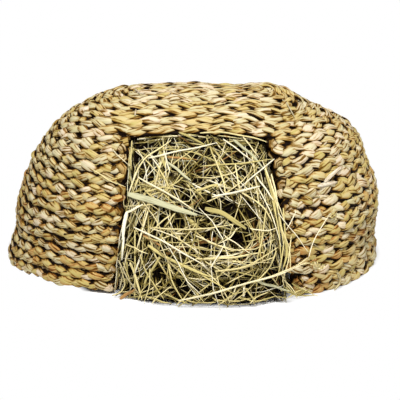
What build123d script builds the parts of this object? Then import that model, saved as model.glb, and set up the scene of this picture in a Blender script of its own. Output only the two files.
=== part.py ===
from build123d import *
import math
import os

# A hideaway hut for a small pet, wound from one flat plait of dried grass and stuffed with hay.
# The hut faces -Y. Its footprint is a racetrack: straight at the front and back, round at the ends.
# The wall is laid in courses that run from one side of the doorway to the other round the back,
# each turned up at its end to meet the next. Above the doorway the plait winds on as a coil.

# Driving dimensions of the hut, in millimetres
hut_width = 356.0
hut_depth = 252.0
hut_height = 158.0
dome_squareness = 2.26
lean_at_crown = 9.0
plait_thickness = 8.3
wall_courses = 16
coil_turns = 8
flat_under_foot = 0.5

# The doorway, measured between the folds at its two sides
door_foot_width = 154.0
door_foot_shift = 18.0
door_lintel_width = 119.0
door_lintel_shift = 10.5

# The thread that sews each course to the one above it
thread_thickness = 1.6
thread_start = 7.0

# The end of the plait, which tapers and is tucked under the first turn of the coil
plait_end_gap = 0.4
tail_tip_thickness = 2.0
tail_sections = 14

# The hay that fills the doorway
hay_clearance = 3.0
hay_above_floor = 0.4
hay_front_bulge = 18.0
hay_waist_bulge = 4.0
hay_waist_height = 70.0
hay_top_recess = 3.0
hay_reach_inside = 84.0
hay_corner = 24.0

# Worked out from the driving dimensions
core = (hut_width - hut_depth) / 2
tube = plait_thickness / 2
foot_radius = hut_depth / 2 - tube
crown_height = hut_height - tube
first_height = tube - flat_under_foot
hut_y = hay_front_bulge / 2
last_course = wall_courses + coil_turns + 1

profile_steps = 3000
gap_step = 3.0
rounding = 1e-9


def profile_point(angle):
    """Radius and height of the plait's middle line at an angle up the dome, from the floor to the crown."""
    radius = foot_radius * math.cos(angle) ** (2 / dome_squareness)
    height = crown_height * math.sin(angle) ** (2 / dome_squareness)
    return radius, height


def profile_table():
    """Distance up the dome, radius and height, at close steps."""
    rows = [(0.0, foot_radius, 0.0)]
    for step in range(1, profile_steps + 1):
        radius, height = profile_point(step / profile_steps * math.pi / 2)
        travelled = rows[-1][0] + math.dist((radius, height), rows[-1][1:])
        rows.append((travelled, radius, height))
    return rows


dome = profile_table()
first_distance = next(row[0] for row in dome if row[2] >= first_height)
pitch = (dome[-1][0] - first_distance) / (last_course - 1)


def course(number):
    """Middle line of a course: its shift along X, its radius and its height. Halves lie between courses."""
    distance = min(first_distance + (number - 1) * pitch, dome[-1][0])
    low, high = next(pair for pair in zip(dome, dome[1:]) if pair[1][0] >= distance - rounding)
    share = (distance - low[0]) / (high[0] - low[0])
    radius = max(low[1] + share * (high[1] - low[1]), 0.0)
    height = low[2] + share * (high[2] - low[2])
    return lean_at_crown * height / crown_height, radius, height


lintel_height = course(wall_courses + 1)[2] - tube


def door_edge(side, height):
    """X of the doorway's edge at a height, on the left (side -1) or the right (side 1)."""
    rise = height / lintel_height
    width = door_foot_width + rise * (door_lintel_width - door_foot_width)
    shift = door_foot_shift + rise * (door_lintel_shift - door_foot_shift)
    return shift + side * width / 2


def end_point(number, side, angle):
    """A point of a course on its round end, at an angle back from the front."""
    shift, radius, height = course(number)
    x = shift + side * (core + radius * math.sin(angle))
    return Vector(x, hut_y - radius * math.cos(angle), height)


def door_angle(number, side):
    """Where a course stops beside the doorway, so that its fold just reaches the doorway's edge.

    A course that meets the fold of the one below stops at that fold's end, less a small gap."""
    meets_fold = number > 1 and (number + (side < 0)) % 2 == 0
    lower = number - 1 if meets_fold else number
    shift, radius, height = course(lower)
    reach = pitch / 2 + tube
    outside = side * (door_edge(side, height) - shift) - core
    angle = math.asin((outside + reach) / radius)
    if not meets_fold:
        return angle
    upper_shift, upper_radius, upper_height = course(number)
    nearer_door = -side * (upper_shift - shift) * math.cos(angle)
    return angle + (plait_end_gap + nearer_door) / upper_radius


def tube_along(edges, radius):
    """A round tube swept along edges that follow each other smoothly."""
    path = Wire(edges)
    section = Plane(origin=path @ 0, z_dir=path % 0) * Circle(radius)
    return sweep(section, path=path), path


def half_round_path(number, right_angle, left_angle):
    """A course's line from the right of the doorway, round the back, to the left of it."""
    shift, radius, height = course(number)
    right_middle = (right_angle + math.pi) / 2
    left_middle = (left_angle + math.pi) / 2
    right_back = Vector(shift + core, hut_y + radius, height)
    left_back = Vector(shift - core, hut_y + radius, height)
    return [
        ThreePointArc(end_point(number, 1, right_angle), end_point(number, 1, right_middle), right_back),
        Line(right_back, left_back),
        ThreePointArc(left_back, end_point(number, -1, left_middle), end_point(number, -1, left_angle)),
    ]


def fold(number, side, angle):
    """The half turn by which a course folds up beside the doorway to meet the next."""
    start = end_point(number, side, angle)
    above = end_point(number + 1, side, angle)
    along = Vector(-side * math.cos(angle), -math.sin(angle), 0)
    rise = above - start
    rise = rise - along * rise.dot(along)
    middle = start + rise * 0.5 + along * (rise.length / 2)
    return start, middle, start + rise


def wall_course(number):
    """One course of the wall, with the fold at its upper end."""
    right = door_angle(number, 1)
    left = door_angle(number, -1)
    edges = half_round_path(number, right, left)
    if number < wall_courses and number % 2 == 1:
        start, middle, end = fold(number, 1, right)
        edges.insert(0, ThreePointArc(end, middle, start))
    elif number < wall_courses:
        edges.append(ThreePointArc(*fold(number, -1, left)))
    solid, path = tube_along(edges, tube)
    if number == 1:
        under = Box(2 * hut_width, 2 * hut_depth, plait_thickness, align=(Align.CENTER, Align.CENTER, Align.MAX))
        solid -= under
    return solid, path


def seam_thread(number):
    """The thread between a course and the next, lying in the groove and caught in both."""
    middle = number + 0.5
    radius = course(middle)[1]
    right = door_angle(number, 1) + thread_start / radius
    left = door_angle(number, -1) + thread_start / radius
    edges = half_round_path(middle, right, left)
    if number == wall_courses:
        edges = edges[1:]
    return tube_along(edges, thread_thickness / 2)[0]


def coil_edges():
    """The coil's line: straight runs and half turns, climbing to the next turn round the right end."""
    edges = []
    start_x = course(wall_courses)[0]
    for number in range(wall_courses + 1, last_course + 1):
        shift, radius, height = course(number)
        back_right = Vector(start_x + core, hut_y + radius, height)
        back_left = Vector(shift - core, hut_y + radius, height)
        edges.append(Line(back_right, back_left))
        if number == last_course:
            break
        front_left = Vector(shift - core, hut_y - radius, height)
        front_right = Vector(shift + core, hut_y - radius, height)
        next_radius, next_height = course(number + 1)[1:]
        climbed = Vector(shift + core, hut_y + next_radius, next_height)
        half_turn = (climbed - front_right).length / 2
        edges.append(ThreePointArc(back_left, Vector(shift - core - radius, hut_y, height), front_left))
        edges.append(Line(front_left, front_right))
        edges.append(ThreePointArc(front_right, (front_right + climbed) * 0.5 + Vector(half_turn, 0, 0), climbed))
        start_x = shift
    return edges


def tail_circle(turn):
    """Middle and size of the tucked end, part way round the right end: 0 at the front, 1 at the back."""
    angle = turn * math.pi
    below_shift, below_radius, below_height = course(wall_courses)
    first_shift, first_radius, first_height_up = course(wall_courses + 1)
    next_radius, next_height = course(wall_courses + 2)[1:]
    below = Vector(
        below_shift + core + below_radius * math.sin(angle),
        hut_y - below_radius * math.cos(angle),
        below_height,
    )
    front = Vector(first_shift + core, hut_y - first_radius, first_height_up)
    back = Vector(first_shift + core, hut_y + next_radius, next_height)
    middle = (front + back) * 0.5
    half_turn = (back - front).length / 2
    above = middle + (front - middle) * math.cos(angle) + Vector(half_turn * math.sin(angle), 0, 0)
    size = (above - below).length / 2 - pitch / 2
    return (above + below) * 0.5, min(size, tube)


def dome_coil():
    """The coil over the doorway, from its tucked end at the back right to the middle of the crown."""
    coil, path = tube_along(coil_edges(), tube)
    rings = []
    for step in range(tail_sections + 1):
        turn = step / tail_sections
        centre, size = tail_circle(turn)
        if step == tail_sections:
            centre, size = path @ 0, tube
        if size < tail_tip_thickness / 2:
            continue
        outward = turn * math.pi
        along = Vector(math.cos(outward), math.sin(outward), 0)
        rings.append(Plane(origin=centre, z_dir=along) * Circle(size))
    tail = loft(rings, ruled=True)
    inner_end = Pos(path @ 1) * Sphere(tube)
    return coil + tail + inner_end, path


def hay_bundle():
    """The hay as one soft block: the doorway's outline, its front bulging at the foot."""
    top = lintel_height - hay_clearance
    left_foot = door_edge(-1, 0) + hay_clearance
    right_foot = door_edge(1, 0) - hay_clearance
    left_top = door_edge(-1, top) + hay_clearance
    right_top = door_edge(1, top) - hay_clearance
    outline = Polyline(
        (left_foot, hay_above_floor),
        (right_foot, hay_above_floor),
        (right_top, top),
        (left_top, top),
        close=True,
    )
    front_face = make_face(Plane.XZ * outline)
    front_face = Face(front_face.wire().fillet_2d(hay_corner, front_face.vertices().sort_by(Axis.Z)[2:]))
    block = extrude(front_face, amount=hut_depth, both=True)

    wall_front = hut_y - hut_depth / 2
    waist_wall = hut_y - wall_radius_at(hay_waist_height) - tube
    top_wall = hut_y - wall_radius_at(top)
    foot_front = (wall_front - hay_front_bulge, hay_above_floor)
    waist_front = (waist_wall - hay_waist_bulge, hay_waist_height)
    top_front = (top_wall + hay_top_recess, top)
    inside = wall_front + hay_reach_inside
    side = [
        ThreePointArc(foot_front, waist_front, top_front),
        Line(top_front, (inside, top)),
        Line((inside, top), (inside, hay_above_floor)),
        Line((inside, hay_above_floor), foot_front),
    ]
    side_face = make_face(Plane.YZ * Wire(side))
    cut = extrude(side_face, amount=hut_width, both=True)
    return block & cut


def wall_radius_at(height):
    """Radius of the wall's middle line at a height."""
    return next(row[1] for row in dome if row[2] >= height)


def least_gap(path):
    """Smallest clear distance between two stretches of one plait, measured on points of its line."""
    count = int(path.length / gap_step)
    points = [tuple(path.position_at(index / count)) for index in range(count + 1)]
    apart = math.ceil(math.pi * pitch / 2 / gap_step) + 1
    nearest = min(
        math.dist(points[first], points[second])
        for first in range(len(points))
        for second in range(first + apart, len(points))
    )
    return nearest - plait_thickness


def write(name, solid):
    export_step(solid, os.path.join("parts", name + ".step"))


def main():
    os.makedirs("parts", exist_ok=True)
    for number in range(1, wall_courses + 1):
        solid, path = wall_course(number)
        write(f"wall_course_{number:02d}", solid)
        print(f"wall course {number:02d}: length {path.length:.1f}, volume {solid.volume:.0f},",
              f"section times length {path.length * math.pi * tube ** 2:.0f}")
    for number in range(1, wall_courses + 1):
        write(f"seam_thread_{number:02d}", seam_thread(number))
    coil, path = dome_coil()
    write("dome_coil", coil)
    print(f"dome coil: length {path.length:.1f}, volume {coil.volume:.0f},",
          f"section times length {path.length * math.pi * tube ** 2:.0f},",
          f"least gap to itself {least_gap(path):.2f} mm")
    write("hay_bundle", hay_bundle())
    print(f"pitch {pitch:.2f}, lintel height {lintel_height:.1f}")


main()
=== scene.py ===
import math

import bmesh
import bpy
import numpy as np
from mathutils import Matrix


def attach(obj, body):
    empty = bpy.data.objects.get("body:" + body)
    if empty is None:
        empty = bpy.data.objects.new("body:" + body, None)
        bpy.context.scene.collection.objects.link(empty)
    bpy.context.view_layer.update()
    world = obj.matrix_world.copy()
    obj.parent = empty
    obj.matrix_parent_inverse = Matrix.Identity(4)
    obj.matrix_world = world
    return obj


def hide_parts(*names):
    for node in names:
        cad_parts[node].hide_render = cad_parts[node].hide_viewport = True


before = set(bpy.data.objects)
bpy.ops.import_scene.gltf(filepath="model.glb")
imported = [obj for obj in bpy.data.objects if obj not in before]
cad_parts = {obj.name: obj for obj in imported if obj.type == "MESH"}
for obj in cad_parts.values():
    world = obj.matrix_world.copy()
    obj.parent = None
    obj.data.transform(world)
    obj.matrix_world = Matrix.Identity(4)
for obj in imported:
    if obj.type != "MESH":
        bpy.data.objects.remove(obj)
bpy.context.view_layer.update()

# A low hut wound from plaited dried grass, its doorway stuffed with hay. All sizes are in metres.

chance = np.random.default_rng(11)

hut = {
    "width": 0.356,
    "depth": 0.252,
    "height": 0.158,
    "squareness": 2.26,       # 2 is a round dome, more is squarer
    "lean": 0.009,            # how far the crown leans to the right
    "courseThickness": 0.0083,
    "flatUnderFoot": 0.0005,
    "wallCourses": 16,
    "coilTurns": 8,
    "middleY": 0.009,
}
doorway = {                   # at the floor and at the lintel
    "width": (0.154, 0.119),
    "shift": (0.018, 0.0105),
}


# Small helpers

def unit(rows):
    return rows / np.linalg.norm(rows, axis=-1, keepdims=True)


def smooth(value, low, high):
    # 0 up to low, 1 from high on, with a soft step between; high may be the smaller
    share = np.clip((value - low) / (high - low), 0, 1)
    return share * share * (3 - 2 * share)


def bell(value, middle, spread):
    return np.exp(-((value - middle) / spread) ** 2)


def fromTo(pair, share):
    return pair[0] + (pair[1] - pair[0]) * share


def wander(along, span, size):
    # a value that drifts at random about nothing, with one knot to each span
    knots = chance.normal(0, size, int(along[-1] / span) + 4)
    spot = along / span
    low = np.floor(spot).astype(int)
    share = smooth(spot - low, 0, 1)
    return knots[low] * (1 - share) + knots[low + 1] * share


def travelled(points):
    return np.concatenate([[0], np.cumsum(np.linalg.norm(np.diff(points, axis=0), axis=1))])


def rowsOf(*columns):
    # rows of a table from its columns, where a single number fills its column
    return np.stack(np.broadcast_arrays(*columns), 1)


def aboveFloor(points, gap):
    points[..., 2] = np.maximum(points[..., 2], gap)
    return points


def screen(*colour):
    # a colour as a screen shows it, from 0 to 255, as the light it stands for
    light = (((c / 255 + 0.055) / 1.055) ** 2.4 if c > 10 else c / 255 / 12.92 for c in colour)
    return [*light, 1]


# The dome's side line, from the floor to the crown

halfCourse = hut["courseThickness"] / 2
core = (hut["width"] - hut["depth"]) / 2
footRadius = hut["depth"] / 2 - halfCourse
crownHeight = hut["height"] - halfCourse
riseAngle = np.linspace(0, math.pi / 2, 4001)
domeRadius = footRadius * np.clip(np.cos(riseAngle), 0, 1) ** (2 / hut["squareness"])
domeHeight = crownHeight * np.sin(riseAngle) ** (2 / hut["squareness"])
domeReach = travelled(rowsOf(domeRadius, domeHeight))
radiusSlope = np.gradient(domeRadius, domeReach)
heightSlope = np.gradient(domeHeight, domeReach)
lastCourse = hut["wallCourses"] + hut["coilTurns"] + 1
firstReach = np.interp(halfCourse - hut["flatUnderFoot"], domeHeight, domeReach)
pitch = (domeReach[-1] - firstReach) / (lastCourse - 1)


def courseReach(number):
    return firstReach + (number - 1) * pitch


def onDome(reach):
    # how far the middle has leaned, the radius and the height at a distance up the dome
    height = np.interp(reach, domeReach, domeHeight)
    return hut["lean"] * height / crownHeight, np.interp(reach, domeReach, domeRadius), height


lintelHeight = onDome(courseReach(hut["wallCourses"] + 1))[2] - halfCourse


def doorEdge(side, height):
    # x of the doorway's edge, on its left, -1, or its right, 1
    rise = height / lintelHeight
    return fromTo(doorway["shift"], rise) + side * fromTo(doorway["width"], rise) / 2


def wallFront(x, height):
    # y of the wall's outer face at the front
    radius = np.interp(height, domeHeight, domeRadius) + halfCourse
    past = np.maximum(np.abs(x - hut["lean"] * height / crownHeight) - core, 0)
    return hut["middleY"] - np.sqrt(np.maximum(radius ** 2 - past ** 2, 0))


# Hand-made unevenness, the same for every course so that they still nest

unevenness = {
    "size": 0.0011,
    "waves": 7,
    "shortest": 0.07,
    "longest": 0.20,
    "frontY": -0.03,          # what lies before this is the front
    "endX": 0.12,             # where the ends are pushed in or out in full
    "crownFlat": 0.0014,      # the crown is flatter than a dome
    "crownDrop": 0.0018,      # but falls away at its right end
    "flatAside": (0.046, 0.026),  # how far from its middle, and the spread
    "flatHeight": (0.125, 0.145),
    "dropX": (0.070, 0.105),
    "dropHeight": (0.125, 0.148),
    "liftedFoot": (-0.099, -0.092, 0.0),
    "footLift": 0.0062,
    "footFlare": 0.003,
    "footSpread": 0.046,
    # the front's: axis and how far, then their middle and spread, across and up. A raised lintel,
    # which droops at its left end, and the right jamb, bowed outwards half way up
    "frontDents": [
        (2, 0.0060, doorway["shift"][1] + 0.008, 0.045, lintelHeight + 0.004, 0.022),
        (2, -0.0032, -0.043, 0.015, lintelHeight + 0.004, 0.012),
        (0, 0.0030, 0.078, 0.030, 0.085, 0.030),
    ],
    # the ends': how far outwards on the left and on the right, then their middle and spread, up
    "endDents": [
        (-0.0042, 0.0042, 0.070, 0.028),  # half way up, the hut leans further right
        (0.0045, 0.0045, 0.118, 0.016),  # the shoulders bulge
        (-0.0048, -0.0024, 0.027, 0.014),  # both ends are drawn in a little above the foot
        (0.0, -0.0038, 0.141, 0.011),  # the right shoulder is rounder than the left
    ],
}
waveSize = chance.uniform(unevenness["shortest"], unevenness["longest"], unevenness["waves"])
waveWay = unit(chance.normal(size=(unevenness["waves"], 3))) * (2 * math.pi / waveSize)[:, None]
waveStart = chance.uniform(0, 2 * math.pi, unevenness["waves"])
wavePush = unit(chance.normal(size=(unevenness["waves"], 3))) * unevenness["size"]


def handMade(points):
    moved = points + np.sin(points @ waveWay.T + waveStart) @ wavePush
    x, y, height = points[..., 0], points[..., 1], points[..., 2]
    for axis, push, across, wide, up, tall in unevenness["frontDents"]:
        near = bell(x, across, wide) * bell(height, up, tall) * (y < unevenness["frontY"])
        moved[..., axis] += push * near
    endward = np.clip(x / unevenness["endX"], -1, 1)
    for left, right, up, tall in unevenness["endDents"]:
        moved[..., 0] += np.where(x < 0, left, right) * endward * bell(height, up, tall)
    flat = bell(np.abs(x - hut["lean"]), *unevenness["flatAside"])
    flat = flat * smooth(height, *unevenness["flatHeight"])
    drop = smooth(x, *unevenness["dropX"]) * smooth(height, *unevenness["dropHeight"])
    fromFoot = np.linalg.norm(points - unevenness["liftedFoot"], axis=-1)
    foot = bell(fromFoot, 0, unevenness["footSpread"])
    moved[..., 2] += flat * unevenness["crownFlat"] - drop * unevenness["crownDrop"]
    moved[..., 2] += foot * unevenness["footLift"]
    moved[..., 0] -= foot * unevenness["footFlare"]
    return moved


# Tubes

def pointsOf(mesh):
    flat = np.empty(len(mesh.vertices) * 3, np.float32)
    mesh.vertices.foreach_get("co", flat)
    return flat.reshape(-1, 3).astype(float)


def closeMesh(bm, mesh):
    # faces turned outwards and shaded smooth
    bmesh.ops.recalc_face_normals(bm, faces=bm.faces)
    for face in bm.faces:
        face.smooth = True
    bm.to_mesh(mesh)
    bm.free()
    return mesh


def buildTubes(name, stems):
    # each stem is its rings of points, its length and, but for thread, its tones and its lifts: 1
    # in the open, 0 in full shade. They are welded shut, with a UV in metres along and in turns
    # around
    tubes, lengths, *shades = zip(*stems)
    around = tubes[0].shape[1]
    counts = np.array([len(rings) for rings in tubes])
    total = int(counts.sum())
    starts = np.cumsum(counts) - counts
    owner = np.repeat(np.arange(len(counts)), counts)
    mesh = bpy.data.meshes.new(name)
    bm = bmesh.new()
    bm.loops.layers.uv.new("along")
    bmesh.ops.create_grid(bm, x_segments=total - 1, y_segments=around, size=0.5, calc_uvs=True)
    bm.to_mesh(mesh)
    bm.free()
    grid = pointsOf(mesh)
    turn = np.rint((grid[:, 1] + 0.5) * around).astype(int)
    ring = np.rint((grid[:, 0] + 0.5) * (total - 1)).astype(int)
    points = np.concatenate(tubes)[ring, turn % around]
    mesh.vertices.foreach_set("co", points.astype(np.float32).ravel())
    for shade, values in zip(("tone", "lift"), shades):
        values = np.concatenate(values)
        values = values[ring, turn % around] if values.ndim == 2 else values[ring]
        layer = mesh.attributes.new(shade, "FLOAT", "POINT")
        layer.data.foreach_set("value", values.astype(np.float32))
    corner = np.empty(len(mesh.loops), np.int32)
    mesh.loops.foreach_get("vertex_index", corner)
    tube = owner[ring[corner]]
    share = (ring[corner] - starts[tube]) / (counts[tube] - 1)
    uv = np.empty(len(mesh.loops) * 2, np.float32)
    mesh.uv_layers[0].data.foreach_get("uv", uv)
    uv = uv.reshape(-1, 2)
    shifted = share * np.array(lengths)[tube] + 0.377 * tube  # no two show the same streaks
    uv[:, 0] = shifted % 97
    mesh.uv_layers[0].data.foreach_set("uv", uv.ravel())
    spans = (tube.reshape(-1, 4) != tube.reshape(-1, 4)[:, :1]).any(1)
    bm = bmesh.new()
    bm.from_mesh(mesh)
    bm.verts.ensure_lookup_table()
    bm.faces.ensure_lookup_table()
    edges = [bm.verts[i] for i in np.nonzero((turn == 0) | (turn == around))[0]]
    bmesh.ops.delete(bm, geom=[bm.faces[i] for i in np.nonzero(spans)[0]], context="FACES")
    bmesh.ops.remove_doubles(bm, verts=[vert for vert in edges if vert.is_valid], dist=1e-6)
    bmesh.ops.holes_fill(bm, edges=[edge for edge in bm.edges if edge.is_boundary], sides=around)
    return closeMesh(bm, mesh)


def stem(rings, length, tone, lift=1.0):
    # one stem of one tone
    return rings, length, np.full(len(rings), tone), np.full(len(rings), lift)


def ringsAround(centre, wide, thick, halfWidth, halfThickness, around, crease=None):
    # rings of points round a line, or round many lines at once
    corner = np.linspace(0, 2 * math.pi, around, endpoint=False)
    reach = np.ones(around) if crease is None else crease
    sideways = (halfWidth[..., None] * np.cos(corner) * reach)[..., None]
    outwards = (halfThickness[..., None] * np.sin(corner) * reach)[..., None]
    return centre[..., None, :] + wide[..., None, :] * sideways + thick[..., None, :] * outwards


def ringsFacing(line, facing, halfWidth, flatness, around):
    # the same, with the flat side turned one way
    way = unit(np.gradient(line, axis=-2))
    wide = unit(np.cross(way, facing))
    return ringsAround(line, wide, np.cross(way, wide), halfWidth, halfWidth * flatness, around)


# The plait: three strands of folded leaf over and under each other, round a dark flat middle

plait = {
    "repeat": (0.053, 0.030),  # length in which a strand is back at the same edge; and at a fold
    "unevenRepeat": (0.05, 0.14),  # each uneven pair: a length to come and go in, and its size
    "mostUneven": 0.35,
    "crownStretch": 0.013,    # how much looser it is plaited on the crown
    "foldStretch": 0.018,
    "sideSwing": 0.0029,
    "depthSwing": 0.0015,
    "edgeSink": 0.0011,       # how far the plait's edges lie behind its middle
    "halfWidth": 0.0046,
    "halfThickness": 0.0024,
    "slimming": 0.48,         # how much slimmer a strand is where it dives under
    "roll": 0.62,             # how far a strand turns on its side at the plait's edge
    "foldSlimming": 0.08,     # how much slimmer the plait is round a fold
    "foldRecess": 0.0030,     # how far a fold is sunk behind the wall's face
    "foldDent": (0.46, 0.4),  # how far a fold is drawn back between its two rows, and the spread
    "foldSquareness": 2.5,    # 2 is a round fold
    "foldFineness": 1.4,      # how much closer its rings are
    "foldSlims": (0.017, 0.007),  # how far before its end a fold starts to be slim and is slimmest
    "foldTurns": (0.013, 0.002),  # where its weave starts to turn over, and has turned
    "foldShades": (0.013, 0.007),  # and where it starts to be shaded, and is
    "jambShade": 0.16,        # how much darker the plait is where it turns in
    "crease": 0.09,
    "creaseTwist": 60,        # how fast the creases turn about the strand, in radians a metre
    "unevenTwist": (0.03, 2.0),
    "shadeDepths": (0.0001, 0.0022),  # heights above the lining for full shade and for none
    "dimmest": 0.10,          # light left at a strand's edges and where it dives under
    "edgeShade": 0.56,        # how far in from its edges a strand is shaded
    "crownEdgeShade": 0.24,   # and how much further on the crown
    "diveShade": (0.12, 0.66),
    "unevenWidth": 0.16,
    "unevenUp": (0.03, 0.00035),  # how far a row strays up and down
    "unevenOut": (0.035, 0.00045),  # and in and out
    "crownFirmness": 3,       # how much less the crown's turns stray in and out
    "unevenPlace": (0.02, 0.0005),
    "plainEnd": 0.0065,       # how much further an end without a fold runs to the doorway
    "leftEnd": 0.0018,        # and all the ends on the left
    "middleHalfWidth": 0.0049,
    "middleHalfThickness": 0.0012,
    "paintedSheen": 0.34,         # how much paler the crown is painted: a painted sheen from the light above
    "paintedSheenCourses": (8, 16),  # between which it grows as pale
    "lean": 0.24,             # how far the plait is turned about its own line
    "crownUpright": 0.5,      # how much less it is turned on the crown
    "crown": (0.100, 0.140),  # heights between which the wall goes over into the crown
    "top": (0.110, 0.150),
    "overTurnedX": (0.111, 0.010),  # where it turns over to the other side, on the wall and on top
    "overTurnedSpread": (0.010, 0.040),
    "overTurned": (1.8, 1.0),  # how far, on the wall and on the crown
    "tuckedFrom": 0.22,       # where the coil's tucked end starts, in half turns from the front
    "tuckedRadius": 0.075,
    "tuckedSize": 0.12,       # how slim it is at its tip
    "step": 0.002,
    "around": 14,
    "floorGap": 0.0002,
}


def leanAt(points):
    # how far the plait's lower edge is turned outwards; on the right its upper one is
    crown = smooth(points[:, 2], *plait["crown"])
    top = smooth(points[:, 2], *plait["top"])
    middle = fromTo(plait["overTurnedX"], top)
    spread = fromTo(plait["overTurnedSpread"], top)
    rightward = smooth(points[:, 0], middle - spread, middle + spread)
    upright = 1 - plait["crownUpright"] * crown
    return plait["lean"] * upright * (1 - fromTo(plait["overTurned"], crown) * rightward)


def rolled(wide, thick, angle):
    # the two directions of a cross-section, turned about its line
    along, aside = np.cos(angle)[:, None], np.sin(angle)[:, None]
    return wide * along + thick * aside, thick * along - wide * aside


def braid(name, middle, outward, size, tight, phase, pale, light, facing):
    # middle: the plait's line; outward: the wall's outward way; size: 1 for the full plait;
    # tight: 1 beside a fold; phase: where in its weave the plait starts; pale: how much paler it
    # is painted, a painted sheen from the light above; light: below 1 where it turns in behind the
    # jamb, painted shade; facing: 1 where the weave points the way it runs, -1 where it points
    # back
    along = travelled(middle)
    onward = unit(np.gradient(middle, axis=0))
    across = unit(np.cross(outward, onward))
    across, outward = rolled(across, np.cross(onward, across), facing * leanAt(middle))
    crown = smooth(middle[:, 2], *plait["crown"])
    repeat = fromTo(plait["repeat"], tight) + plait["crownStretch"] * crown
    uneven = wander(along, *plait["unevenRepeat"])
    repeat = repeat * (1 + np.clip(uneven, -plait["mostUneven"], plait["mostUneven"]))
    turned = phase + np.concatenate([[0], np.cumsum(np.diff(along) * 2 * math.pi / repeat[1:])])
    corner = np.linspace(0, 2 * math.pi, plait["around"], endpoint=False)
    lining = ringsAround(middle, across, outward, plait["middleHalfWidth"] * size,
                         plait["middleHalfThickness"] * size, plait["around"])
    lining = aboveFloor(handMade(lining)[::2], plait["floorGap"])
    strands = [(lining, along[-1], np.zeros(len(lining)), np.zeros(lining.shape[:2]))]
    for number in range(3):
        angle = turned + 2 * math.pi * number / 3
        side = plait["sideSwing"] * np.sin(angle) + wander(along, *plait["unevenPlace"])
        deep = -plait["depthSwing"] * facing * np.sin(2 * angle)
        deep = deep - plait["edgeSink"] * np.sin(angle) ** 2
        deep = deep + wander(along, *plait["unevenPlace"])
        centre = middle + across * (side * size)[:, None] + outward * (deep * size)[:, None]
        way = unit(np.gradient(centre, axis=0))
        wide = unit(across - way * np.sum(across * way, 1)[:, None])
        roll = plait["roll"] * np.sin(angle) * np.abs(np.sin(angle))
        wide, thick = rolled(wide, np.cross(way, wide), -roll)
        lobe = (angle - facing * math.pi / 6) / math.pi + 40  # counts a strand's showing stretches
        slim = 1 - plait["slimming"] * (1 - np.abs(np.sin(math.pi * lobe)) ** 0.8)
        halfWidth = plait["halfWidth"] * size * slim * (1 + wander(lobe, 1, plait["unevenWidth"]))
        halfThickness = plait["halfThickness"] * size * (1 + wander(lobe, 1, plait["unevenWidth"]))
        twist = (wander(along, *plait["unevenTwist"]) + plait["creaseTwist"] * along)[:, None]
        crease = np.cos(3 * corner + twist) + 0.5 * np.cos(5 * corner - 1.6 * twist)
        rings = ringsAround(centre, wide, thick, halfWidth, halfThickness, plait["around"],
                            1 + plait["crease"] * crease)
        whole = np.floor(lobe).astype(int)
        share = smooth(lobe - whole, 0.9, 1.0)
        values = pale + (1 - pale) * chance.uniform(0, 1, whole.max() + 3)
        tone = values[whole] * (1 - share) + values[whole + 1] * share
        # lift: painted shade, darker nearer the lining between the strands, at a strand's edges,
        # where it dives under, and where the plait turns in at the jamb
        height = np.abs(np.sum((rings - middle[:, None]) * outward[:, None], 2))
        inward = plait["edgeShade"] + plait["crownEdgeShade"] * crown[:, None]
        edge = smooth(np.abs(np.sin(corner)), 0.0, inward)
        dive = smooth(np.abs(np.sin(math.pi * lobe)), *plait["diveShade"])[:, None]
        lift = smooth(height, *plait["shadeDepths"]) * light[:, None]
        lift = lift * fromTo((plait["dimmest"], 1), edge) * fromTo((plait["dimmest"], 1), dive)
        strands.append((aboveFloor(handMade(rings), plait["floorGap"]), along[-1], tone, lift))
    return buildTubes(name, strands), turned[-1]


def aroundEnd(side, angle, reach):
    # points and stations round one end, at angles back from the front
    shift, radius, height = onDome(reach)
    outX, outY = side * np.sin(angle), -np.cos(angle)
    points = rowsOf(shift + side * core + radius * outX, hut["middleY"] + radius * outY, height)
    return points, rowsOf(outX, outY, reach)


def roundEnd(side, start, end, reach):
    count = max(3, int(abs(end - start) * onDome(reach)[1] / plait["step"]))
    return aroundEnd(side, np.linspace(start, end, count, endpoint=False), reach)


def straightRun(outY, startX, endX, reach):
    radius, height = onDome(reach)[1:]
    count = max(3, int(abs(endX - startX) / plait["step"]))
    x = np.linspace(startX, endX, count, endpoint=False)
    return rowsOf(x, hut["middleY"] + outY * radius, height), rowsOf(0 * x, outY, reach)


def climbingEnd(number):
    # the half turn round the right end that climbs from one turn of the coil to the next
    shift, radius, height = onDome(courseReach(number))
    nextRadius, nextHeight = onDome(courseReach(number + 1))[1:]
    front = np.array([shift + core, hut["middleY"] - radius, height])
    back = np.array([shift + core, hut["middleY"] + nextRadius, nextHeight])
    half = np.linalg.norm(back - front) / 2
    count = max(8, int(math.pi * half / plait["step"]))
    angle = np.linspace(0, math.pi, count, endpoint=False)
    points = (front + back) / 2 + (front - back) / 2 * np.cos(angle)[:, None]
    points[:, 0] += half * np.sin(angle)
    reach = courseReach(number) + pitch * (1 - np.cos(angle)) / 2
    return points, rowsOf(np.sin(angle), -np.cos(angle), reach)


def joined(runs):
    # the points and the stations of several runs, end to end
    return [np.concatenate(parts) for parts in zip(*runs)]


def roundBack(reach, leftStart, rightStart):
    # from the left of the doorway round the back to its right
    shift = onDome(reach)[0]
    right = [part[::-1] for part in roundEnd(1, rightStart, math.pi, reach)]
    return joined([roundEnd(-1, leftStart, math.pi, reach),
                   straightRun(1, shift - core, shift + core, reach), right])


def wallDirections(stations):
    # up the wall and out of it, at each station
    outX, outY, reach = stations.T
    radial = np.interp(reach, domeReach, radiusSlope)
    rising = np.interp(reach, domeReach, heightSlope)
    up = unit(rowsOf(radial * outX, radial * outY, rising))
    outward = unit(rowsOf(rising * outX, rising * outY, -radial))
    return up, outward


def strayed(points, up, outward, firmness):
    # a row is never quite straight
    along = travelled(points)
    points = points + up * wander(along, *plait["unevenUp"])[:, None]
    span, size = plait["unevenOut"]
    return points + outward * wander(along, span, size / firmness)[:, None]


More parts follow.
